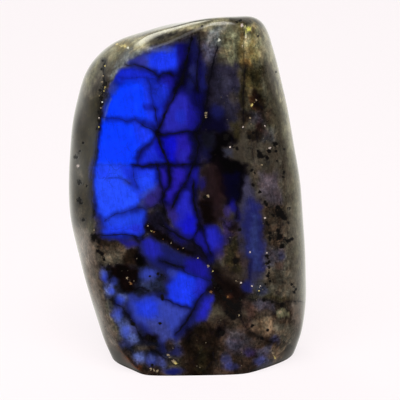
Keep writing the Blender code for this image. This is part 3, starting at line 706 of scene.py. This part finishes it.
def outline_reach():
    """The outline as angles and distances from the heart, on a smooth closed curve through its points."""
    points = np.array(OUTLINE)
    before, after, beyond = (np.roll(points, shift, axis=0) for shift in (1, -1, -2))
    steps = np.arange(STEPS_BETWEEN_POINTS)[:, None, None] / STEPS_BETWEEN_POINTS
    curve = 0.5 * (
        2 * points
        + (after - before) * steps
        + (2 * before - 5 * points + 4 * after - beyond) * steps**2
        + (3 * points - before - 3 * after + beyond) * steps**3
    )
    curve = curve.reshape(-1, 2)
    angles = np.arctan2(curve[:, 1], curve[:, 0])
    order = np.argsort(angles)
    return angles[order], np.hypot(curve[:, 0], curve[:, 1])[order]


def facing(round_from_front, up):
    """The unit vector of a facet that faces so many degrees round from the front and so many degrees up."""
    turn, rise = math.radians(round_from_front), math.radians(up)
    return np.array((math.sin(turn) * math.cos(rise), -math.cos(turn) * math.cos(rise), math.sin(rise)))


def surface_distance(ways):
    """How far the stone's surface lies from the heart along each unit vector, in millimetres."""
    angles, reaches = outline_reach()
    right = ways[:, 0]
    up = ways[:, 2] * math.cos(LOOK_DOWN) + ways[:, 1] * math.sin(LOOK_DOWN)
    reach = np.interp(np.arctan2(up, right), angles, reaches, period=2 * math.pi)
    shares = [(np.hypot(right, up) / reach, OUTLINE_CRISPNESS)]
    for round_from_front, rise, distance, crispness in FACETS.values():
        towards = np.maximum(ways @ facing(round_from_front, rise), 0.0)
        shares.append((towards / distance, crispness))
    near, far = np.zeros(len(ways)), np.full(len(ways), FARTHEST)
    for _ in range(HALVINGS):
        middle = (near + far) / 2
        inside = sum((middle * share) ** crispness for share, crispness in shares) < 1
        near, far = np.where(inside, middle, near), np.where(inside, far, middle)
    bevel_share = np.maximum(ways @ facing(*BEVEL_FACES), 0.0) / BEVEL_DISTANCE
    return (near**-BEVEL_CRISPNESS + bevel_share**BEVEL_CRISPNESS) ** (-1 / BEVEL_CRISPNESS)


def stone_points(ways):
    """Points of the uncut stone along each direction, in millimetres, with the base's plane at zero."""
    ways = ways * np.array(HALF_SIZES)
    ways /= np.linalg.norm(ways, axis=1, keepdims=True)
    points = ways * surface_distance(ways)[:, None]
    points += ways * sum(height * np.sin(points @ np.array(wave)) for height, wave in WAVES)[:, None]
    return points + HEART


def new_stone_mesh():
    """The fine stone, sawn flat at the base, with the base's edge rounded over."""
    shape = bmesh.new()
    bmesh.ops.create_cube(shape, size=2.0)
    for axis, squares in enumerate(SQUARES):
        lengths = [abs(edge.verts[0].co[axis] - edge.verts[1].co[axis]) for edge in shape.edges]
        lengthwise = [edge for edge, length in zip(shape.edges, lengths) if length > SAME_PLACE]
        bmesh.ops.subdivide_edges(shape, edges=lengthwise, cuts=squares - 1, use_grid_fill=False)
    ways = np.array([v.co for v in shape.verts])
    for vert, point in zip(shape.verts, stone_points(ways), strict=True):
        vert.co = point
    cut = bmesh.ops.bisect_plane(
        shape,
        geom=shape.verts[:] + shape.edges[:] + shape.faces[:],
        plane_co=(0, 0, BASE_RINGS[0][0]),
        plane_no=(0, 0, 1),
        clear_inner=True,
    )
    rim = [part for part in cut["geom_cut"] if isinstance(part, bmesh.types.BMEdge)]
    so_far_in = 0.0
    for height, way_in in BASE_RINGS[1:]:
        step = bmesh.ops.extrude_edge_only(shape, edges=rim)["geom"]
        rim = [part for part in step if isinstance(part, bmesh.types.BMEdge)]
        for vert in (part for part in step if isinstance(part, bmesh.types.BMVert)):
            flat = Vector((vert.co.x - HEART[0], vert.co.y - HEART[1], 0))
            vert.co -= flat.normalized() * (way_in - so_far_in)
            vert.co.z = height
        so_far_in = way_in
    bmesh.ops.edgeloop_fill(shape, edges=rim)
    bmesh.ops.recalc_face_normals(shape, faces=shape.faces[:])
    mesh = bpy.data.meshes.new("labradorite_stone")
    shape.to_mesh(mesh)
    shape.free()
    return mesh


def drift(points, size, number, octaves):
    """Smooth random values, mostly between -1 and 1, that change over so many millimetres."""
    away = Vector(NUMBER_MOVES) * number
    return np.array([noise.fractal(Vector(point) / size + away, 1.0, 2.0, octaves) for point in points])


def ease(values, low, high):
    """A soft step from 0 at low to 1 at high."""
    share = np.clip((values - low) / (high - low), 0.0, 1.0)
    return share * share * (3 - 2 * share)


def inside_shape(spots, corners, soft):
    """How much each spot is inside a shape with a soft edge: 1 well inside and 0 well outside."""
    nearest = np.full(len(spots), np.inf)
    inside = np.zeros(len(spots), bool)
    corners = np.array(corners, float)
    for start, end in zip(corners, np.roll(corners, -1, axis=0)):
        way = end - start
        share = np.clip((spots - start) @ way / (way @ way), 0.0, 1.0)
        nearest = np.minimum(nearest, np.linalg.norm(spots - start - share[:, None] * way, axis=1))
        crosses = (start[1] > spots[:, 1]) != (end[1] > spots[:, 1])
        rise = end[1] - start[1] if end[1] != start[1] else 1.0
        inside ^= crosses & (spots[:, 0] < way[0] * (spots[:, 1] - start[1]) / rise + start[0])
    return ease(np.where(inside, nearest, -nearest), -soft / 2, soft / 2)


def along(spots, points):
    """For each spot: its distance from a line through the points, and the side of the line that it is on."""
    near, side = np.full(len(spots), np.inf), np.ones(len(spots))
    points = np.array(points, float)
    for start, end in zip(points, points[1:]):
        way = end - start
        share = np.clip((spots - start) @ way / (way @ way), 0.0, 1.0)
        apart = spots - start - share[:, None] * way
        distance = np.linalg.norm(apart, axis=1)
        side = np.where(distance < near, np.sign(way[0] * apart[:, 1] - way[1] * apart[:, 0]), side)
        near = np.minimum(near, distance)
    return near, side


def crack_field(spots, cracks):
    """For each spot: its signed and plain distance from the nearest crack, in half widths, and the darkness."""
    signed, off, dark = np.full(len(spots), FAR_OFF), np.full(len(spots), FAR_OFF), np.zeros(len(spots))
    for half_width, darkness, _, points in cracks:
        near, side = along(spots, points)
        near = near / (half_width * CRACK_SHARE)
        nearer = near < off
        signed, off = np.where(nearer, side * near, signed), np.where(nearer, near, off)
        dark = np.where(nearer, darkness, dark)
    return np.stack((signed, off, dark), axis=1)


def speck_field(spots, specks):
    """For each spot: the way from its nearest speck in radii, and which speck that is."""
    way, off = np.full((len(spots), 2), FAR_OFF), np.full(len(spots), FAR_OFF)
    which = np.zeros(len(spots), int)
    for number, (across, down, radius) in enumerate(specks):
        apart = (spots - np.array((across, down))) / radius
        distance = np.linalg.norm(apart, axis=1)
        nearer = distance < off
        way = np.where(nearer[:, None], apart, way)
        off = np.where(nearer, distance, off)
        which = np.where(nearer, number, which)
    return np.column_stack((way, off)), which


def camera_axes():
    """Unit vectors from the stone to the camera, to the picture's right and to its top."""
    back = np.array((0.0, -math.cos(LOOK_DOWN), math.sin(LOOK_DOWN)))
    right = np.array((1.0, 0.0, 0.0))
    return back, right, np.cross(back, right)


def photo_middle():
    """The point of the stone's frame that the middle of the photograph looks at."""
    _, right, up = camera_axes()
    return HEART + right * PHOTO_MIDDLE_FROM_HEART[0] + up * PHOTO_MIDDLE_FROM_HEART[1]


def photo_spots(points):
    """Where each point shows in the photograph, in its pixels."""
    back, right, up = camera_axes()
    apart = points - photo_middle()
    scale = CAMERA_AWAY / (CAMERA_AWAY - apart @ back) / PIXEL
    return np.column_stack((PHOTO_SIDE / 2 + apart @ right * scale, PHOTO_SIDE / 2 - apart @ up * scale))


def lay(colours, colour, share):
    """Lays a colour over the colours, each spot by its share. They mix as the eye sees them."""
    return colours + (np.array(COLOURS[colour]) / 255 - colours) * share[:, None]


def lay_shapes(colours, spots, shapes):
    """Lays each shape's colour over the colours of the spots in it."""
    for colour, strength, soft, corners in shapes:
        colours = lay(colours, colour, strength * inside_shape(spots, corners, soft))
    return colours


def lay_spots(colours, spots, rounds):
    """Lays soft round spots over the colours."""
    for colour, strength, (across, down, half_width, half_height) in rounds:
        apart = (spots - np.array((across, down))) / np.array((half_width, half_height))
        colours = lay(colours, colour, strength * (1 - ease(np.linalg.norm(apart, axis=1), *SPOT_RIM)))
    return colours


def lay_seams(colours, spots, cracks):
    """Darkens the stone softly along its cracks."""
    for _, darkness, seam, points in cracks:
        near, _ = along(spots, points)
        colours = lay(colours, "black", SEAM_STRENGTH * darkness * np.exp(-((near / seam) ** 2)))
    return colours


def calm_field(spots):
    """How far the mottling is calmed at each spot: 0 leaves all of it, 1 none."""
    calm = np.zeros(len(spots))
    for strength, soft, corners in CALM:
        calm = np.maximum(calm, strength * inside_shape(spots, corners, soft))
    return calm


def give(mesh, name, kind, values):
    """Stores values on the mesh's points under a name that the material reads."""
    attribute = mesh.attributes.new(name, kind, "POINT")
    if kind == "FLOAT_COLOR":
        values = np.column_stack((values, np.ones(len(values))))
    field = {"FLOAT": "value", "FLOAT_COLOR": "color", "FLOAT_VECTOR": "vector"}[kind]
    attribute.data.foreach_set(field, np.ascontiguousarray(values, np.float32).ravel())


def paint_stone(mesh):
    """Paints the stone's zones, cracks, specks and grains on its mesh's points, some of them as painted light.
    """
    count = len(mesh.vertices)
    points, normals = np.zeros(count * 3), np.zeros(count * 3)
    mesh.vertices.foreach_get("co", points)
    mesh.vertices.foreach_get("normal", normals)
    points, normals = points.reshape(-1, 3), normals.reshape(-1, 3)
    back_view, _, _ = camera_axes()
    facing_camera = normals @ back_view

    wobble = np.column_stack([drift(points, *pattern) for pattern in WOBBLES])
    ripple = np.column_stack([drift(points, *pattern) for pattern in RIPPLES])
    cloud = drift(points, *CLOUDS)

    def bent(spots, bend):
        return spots + bend[0] * wobble + bend[1] * ripple

    front_spots = photo_spots(points)
    back_spots = np.column_stack((-(points - HEART)[:, 0], (points - HEART)[:, 2]))

    body = lay(np.zeros((count, 3)), "olive", np.ones(count))
    body = lay(body, "shade", ease(cloud, *SHADE_CLOUDS))
    body = lay(body, "umber", ease(cloud, *UMBER_CLOUDS))
    front = lay_shapes(body, bent(front_spots, ROCK_BEND), ROCK)
    front = lay_shapes(front, bent(front_spots, BLUE_BEND), BLUE)
    front = lay_spots(front, bent(front_spots, BLUE_BEND), SPOTS)
    front = lay_seams(front, bent(front_spots, BLUE_BEND), CRACKS)
    back = lay_shapes(body, bent(back_spots, BACK_BEND), BACK_SHAPES)
    back = lay_seams(back, bent(back_spots, BACK_BEND), BACK_CRACKS)
    moved = FRONT_COLOURS_BEND[0] * wobble[:, 0] + FRONT_COLOURS_BEND[1] * ripple[:, 0]
    seen = ease(facing_camera + moved, *FRONT_COLOURS)
    colours = (front * seen[:, None] + back * (1 - seen[:, None])) ** EYE
    give(mesh, "paint", "FLOAT_COLOR", colours)
    blueness = colours[:, 2] / colours.sum(axis=1)
    calm = calm_field(front_spots) * seen
    give(mesh, "calm", "FLOAT", np.maximum(ease(blueness, *BLUE_CALM), calm))

    cracked = (facing_camera > FRONT_CRACKS_FROM)[:, None]
    front_cracks = crack_field(bent(front_spots, CRACK_BEND), CRACKS)
    back_cracks = crack_field(bent(back_spots, BACK_CRACK_BEND), BACK_CRACKS)
    give(mesh, "crack", "FLOAT_VECTOR", np.where(cracked, front_cracks, back_cracks))

    specked = (facing_camera > FRONT_SPECKS_FROM)[:, None]
    front_specks, _ = speck_field(front_spots, SPECKS)
    back_specks, _ = speck_field(back_spots, BACK_SPECKS)
    give(mesh, "speck", "FLOAT_VECTOR", np.where(specked, front_specks, back_specks))

    # the bright grains, partly the flecks' own colour and partly painted glints, and their colours
    grains, which = speck_field(front_spots, [grain[:3] for grain in GRAIN_GLINTS])
    give(mesh, "grain", "FLOAT_VECTOR", np.where(specked, grains, FAR_OFF))
    tints = np.array([GRAIN_GLINT_COLOURS[grain[3]] for grain in GRAIN_GLINTS])
    give(mesh, "tint", "FLOAT_COLOR", tints[which])


class Graph:
    """A material's or the world's nodes, with short ways to add and join them."""

    def __init__(self, tree):
        self.tree = tree

    def add(self, kind, *inputs, out=0, **settings):
        """Adds a node, fills its inputs in order from sockets or values, and returns its output."""
        node = self.tree.nodes.new(kind)
        for name, value in settings.items():
            setattr(node, name, value)
        self.fill(node, dict(enumerate(inputs)))
        return node.outputs[out]

    def fill(self, node, inputs):
        """Joins or sets the inputs of a node, by number or name."""
        for name, value in inputs.items():
            if isinstance(value, bpy.types.NodeSocket):
                self.tree.links.new(value, node.inputs[name])
            elif value is not None:
                node.inputs[name].default_value = value

    def math(self, operation, *inputs):
        return self.add("ShaderNodeMath", *inputs, operation=operation)

    def vector(self, operation, *inputs, out=0):
        return self.add("ShaderNodeVectorMath", *inputs, operation=operation, out=out)

    def step(self, value, low, high, start=0.0, end=1.0):
        """A soft step of a value, from start at low to end at high."""
        kind = "ShaderNodeMapRange"
        return self.add(kind, value, low, high, start, end, interpolation_type="SMOOTHSTEP")

    def rise(self, value, name):
        """A soft step of a value from 0 to 1, between the two ends that have this name."""
        return self.step(value, *STEPS[name])

    def fall(self, value, name):
        """A soft step of a value from 1 to 0, between the two ends that have this name."""
        return self.step(value, *STEPS[name], 1.0, 0.0)

    def spread(self, value, strength):
        """How far a noise lies from its middle, times a strength."""
        return self.math("MULTIPLY", self.math("SUBTRACT", value, 0.5), strength)

    def mix(self, share, first, second, blend="MIX"):
        node = self.tree.nodes.new("ShaderNodeMix")
        node.data_type = "RGBA"
        node.blend_type = blend
        self.fill(node, {0: share, 6: first, 7: second})
        return node.outputs[2]

    def noise(self, where, name, out=0):
        """The noise that has this name, at a place in millimetres."""
        node = self.tree.nodes.new("ShaderNodeTexNoise")
        scale, detail, roughness = NOISES[name]
        self.fill(node, {"Vector": where, "Scale": scale, "Detail": detail, "Roughness": roughness})
        return node.outputs[out]

    def cells(self, where, scale, **settings):
        """Cells of a pattern without order, at a place in millimetres."""
        pattern = self.add("ShaderNodeTexVoronoi", where, **settings)
        pattern.node.inputs["Scale"].default_value = scale
        return pattern

    def attribute(self, name, out="Fac"):
        node = self.tree.nodes.new("ShaderNodeAttribute")
        node.attribute_name = name
        return node.outputs[out]

    def field(self, name):
        """The three values of a field that is painted on the points."""
        values = self.add("ShaderNodeSeparateXYZ", self.attribute(name, "Vector"))
        return (values.node.outputs[axis] for axis in "XYZ")

    def mark(self, name, place, ragged):
        """A round mark of a field, 1 inside and 0 outside, with an edge that noise makes ragged."""
        across, down, off = self.field(name)
        squares = self.math("ADD", self.math("POWER", across, 2.0), self.math("POWER", down, 2.0))
        edge = self.spread(self.noise(place, name + " edge"), ragged)
        inside = self.fall(self.math("ADD", self.math("SQRT", squares), edge), name)
        return self.math("MULTIPLY", inside, self.fall(off, "mark end"))


def mottled(graph, place, body):
    """The painted colour with the mottling over it, which is strong in the body and faint in the blue."""
    leaning = graph.add("ShaderNodeVectorRotate", place, None, (0.0, 1.0, 0.0), LAMELLAE_LEAN)
    places = {"lamellae": graph.vector("MULTIPLY", leaning, LAMELLAE_STRETCH)}
    doublings = 0.0
    for name, (in_body, everywhere) in MOTTLING.items():
        strength = graph.math("MULTIPLY_ADD", body, in_body, everywhere)
        spread = graph.spread(graph.noise(places.get(name, place), name), strength)
        doublings = graph.math("ADD", doublings, spread)
    light = graph.math("MINIMUM", graph.math("POWER", 2.0, doublings), MOST_LIGHT)
    colour = graph.mix(1.0, graph.attribute("paint", "Color"), light, "MULTIPLY")
    hue = graph.mix(graph.rise(graph.noise(place, "warmth"), "warmth"), COOL, WARM)
    return graph.mix(body, colour, graph.mix(1.0, colour, hue, "MULTIPLY"))


def hairline_net(graph, place):
    """A fine net of hairline cracks, in patches."""
    bend = graph.vector("MULTIPLY", graph.noise(place, "net bend", out=1), NET_BEND)
    net = graph.cells(graph.vector("ADD", place, bend), NET_SCALE, feature="DISTANCE_TO_EDGE")
    patches = graph.rise(graph.noise(place, "net patches"), "net patches")
    hairs = graph.math("MULTIPLY", graph.fall(net, "hairs"), patches)
    return graph.math("MULTIPLY", hairs, HAIR_STRENGTH)


def crack_lines(graph, place):
    """The painted cracks, thin and sharp, of a width that changes along them."""
    side, off, dark = graph.field("crack")
    waver = graph.spread(graph.noise(place, "crack waver"), CRACK_WAVER)
    thinner = graph.spread(graph.noise(place, "crack width"), CRACK_THINNING)
    apart = graph.math("ADD", graph.math("ABSOLUTE", graph.math("ADD", side, waver)), thinner)
    line = graph.math("MULTIPLY", graph.fall(apart, "crack"), graph.fall(off, "crack end"))
    return graph.math("MULTIPLY", graph.math("POWER", line, CRACK_POWER), dark)


def sparks(graph, place, body):
    """Painted glints: a sprinkle of the finest bright grains in the body."""
    cells = graph.cells(place, SPARK_SCALE)
    chosen = graph.add("ShaderNodeSeparateColor", cells.node.outputs["Color"])
    spark = graph.math("MULTIPLY", graph.fall(cells, "spark"), graph.rise(chosen, "spark choice"))
    return graph.math("MULTIPLY", spark, graph.math("MULTIPLY", body, SPARK_STRENGTH))


def labradorite():
    """The polished feldspar: painted zones, fine grain, cracks, specks and grains with painted glints, under
    one gloss.
    """
    material = bpy.data.materials.new("labradorite")
    material.use_nodes = True
    graph = Graph(material.node_tree)
    surface = material.node_tree.nodes["Principled BSDF"]

    # the place on the stone in millimetres, and how far it is body rather than blue or a calm zone
    place = graph.vector("SCALE", graph.add("ShaderNodeTexCoord", out=3), None, None)
    place.node.inputs["Scale"].default_value = 1 / MM
    body = graph.math("SUBTRACT", 1.0, graph.attribute("calm"))

    colour = mottled(graph, place, body)
    colour = graph.mix(hairline_net(graph, place), colour, HAIR)
    line = crack_lines(graph, place)
    colour = graph.mix(line, colour, CRACK)
    blot = graph.mark("speck", place, SPECK_RAGGED)
    dust = graph.rise(graph.noise(place, "dust"), "dust")
    dust = graph.math("MULTIPLY", dust, graph.math("MULTIPLY", body, DUST_STRENGTH))
    colour = graph.mix(graph.math("MAXIMUM", blot, dust), colour, SPECK)
    # the bright grains, partly painted glints, and then the sparks, painted glints of the finest grains
    glint = graph.mark("grain", place, GRAIN_GLINT_RAGGED)
    colour = graph.mix(glint, colour, graph.attribute("tint", "Color"))
    colour = graph.mix(sparks(graph, place, body), colour, SPARK)
    graph.fill(surface, {"Base Color": colour, "IOR": FELDSPAR_IOR, "Metallic": 0.0})

    # the polish is a little duller on every mark, and cracks and specks mirror less
    pits = graph.math("MAXIMUM", line, blot)
    marks = graph.math("MAXIMUM", pits, glint)
    dull = graph.math("MULTIPLY_ADD", graph.noise(place, "haze"), HAZE_ROUGHNESS, POLISH_ROUGHNESS)
    roughness = graph.math("MULTIPLY_ADD", marks, MARK_ROUGHNESS, dull)
    mirror = graph.math("MULTIPLY_ADD", pits, -PIT_LOSS, MIRROR)
    graph.fill(surface, {"Roughness": roughness, "Specular IOR Level": mirror})

    # the finest relief: cracks and specks sink in, and the polish waves softly
    waves = graph.math("MULTIPLY", graph.noise(place, "polish"), POLISH_WAVES)
    height = graph.math("MULTIPLY_ADD", pits, -PIT_DEPTH, waves)
    bump = graph.tree.nodes.new("ShaderNodeBump")
    graph.fill(bump, {"Height": height, "Distance": MM, "Strength": RELIEF_STRENGTH})
    graph.fill(surface, {"Normal": bump.outputs["Normal"]})
    return material


def make_stone():
    """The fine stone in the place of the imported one."""
    mesh = new_stone_mesh()
    paint_stone(mesh)
    mesh.transform(Matrix.Scale(MM, 4))
    mesh.shade_smooth()
    mesh.set_sharp_from_angle(angle=SHADED_SHARP_FROM)
    mesh.materials.append(labradorite())
    stone = bpy.data.objects.new("labradorite_stone", mesh)
    bpy.context.scene.collection.objects.link(stone)
    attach(stone, "root")
    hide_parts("stone")


def make_floor():
    """A plain pale floor that fills the picture."""
    mesh = bpy.data.meshes.new("floor")
    reach = FLOOR_REACH
    corners = [(-reach, -reach, 0), (reach, -reach, 0), (reach, reach, 0), (-reach, reach, 0)]
    mesh.from_pydata(corners, [], [(0, 1, 2, 3)])
    material = bpy.data.materials.new("pale_floor")
    material.use_nodes = True
    surface = material.node_tree.nodes["Principled BSDF"]
    surface.inputs["Base Color"].default_value = FLOOR_COLOUR
    surface.inputs["Roughness"].default_value = 1.0
    surface.inputs["Specular IOR Level"].default_value = 0.0
    surface.inputs["Emission Color"].default_value = FLOOR_GLOW
    surface.inputs["Emission Strength"].default_value = FLOOR_GLOW_STRENGTH
    mesh.materials.append(material)
    floor = bpy.data.objects.new("floor", mesh)
    floor.visible_glossy = False
    bpy.context.scene.collection.objects.link(floor)


def cone_light(graph, way, middle, outer, inner, start, end):
    """Light that goes from start to end as the way nears a middle, between two angles in degrees."""
    towards = graph.vector("DOT_PRODUCT", way, tuple(Vector(middle).normalized()), out=1)
    return graph.step(towards, math.cos(math.radians(outer)), math.cos(math.radians(inner)), start, end)


def make_world():
    """Soft white light from all round, dim behind the camera, which keeps the front face's gloss dark."""
    world = bpy.data.worlds.new("studio")
    bpy.context.scene.world = world
    world.use_nodes = True
    graph = Graph(world.node_tree)
    way = graph.add("ShaderNodeTexCoord", out=0)
    height = graph.add("ShaderNodeSeparateXYZ", way, out=2)
    strength = cone_light(graph, way, DIM_SIDE, BRIGHT_FROM, DIM_FROM, BRIGHT, DIM)
    for change in (BELOW, ABOVE):
        strength = graph.math("MULTIPLY", strength, graph.step(height, *change))
    light = graph.mix(1.0, ROOM_COLOUR, strength, "MULTIPLY")
    for middle, inner, outer, radiance, colour in SOFT_BOXES:
        glow = cone_light(graph, way, middle, outer, inner, 0.0, radiance)
        light = graph.mix(1.0, light, graph.mix(1.0, (*colour, 1.0), glow, "MULTIPLY"), "ADD")
    background = world.node_tree.nodes["Background"]
    graph.fill(background, {"Color": light, "Strength": 1.0})


def make_fill_light():
    """A square light that brightens the stone's own colours."""
    data = bpy.data.lights.new("fill", "AREA")
    data.size = FILL_SIDE
    data.energy = FILL_RADIANCE * math.pi * FILL_SIDE**2
    light = bpy.data.objects.new("fill", data)
    way = Vector(FILL_WAY).normalized()
    light.location = Vector(HEART * MM) + way * FILL_AWAY
    light.rotation_euler = way.to_track_quat("Z", "Y").to_euler()
    light.visible_glossy = False
    bpy.context.scene.collection.objects.link(light)


def make_camera():
    """The photograph's camera."""
    back, _, _ = camera_axes()
    data = bpy.data.cameras.new("photo_camera")
    data.sensor_width = SENSOR
    data.lens = SENSOR * CAMERA_AWAY / (PHOTO_SIDE * PIXEL)
    camera = bpy.data.objects.new("photo_camera", data)
    camera.location = Vector((photo_middle() + back * CAMERA_AWAY) * MM)
    camera.rotation_euler = (math.pi / 2 - LOOK_DOWN, 0.0, 0.0)
    bpy.context.scene.collection.objects.link(camera)
    bpy.context.scene.camera = camera


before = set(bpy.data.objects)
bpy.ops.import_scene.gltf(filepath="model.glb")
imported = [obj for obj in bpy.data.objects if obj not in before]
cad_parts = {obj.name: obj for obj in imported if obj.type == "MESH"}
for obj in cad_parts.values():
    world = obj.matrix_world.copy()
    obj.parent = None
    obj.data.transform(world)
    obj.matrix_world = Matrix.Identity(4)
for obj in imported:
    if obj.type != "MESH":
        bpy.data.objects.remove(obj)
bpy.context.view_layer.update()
make_camera()
make_floor()
make_world()
make_fill_light()
make_stone()
bpy.context.scene.view_settings.view_transform = "Standard"
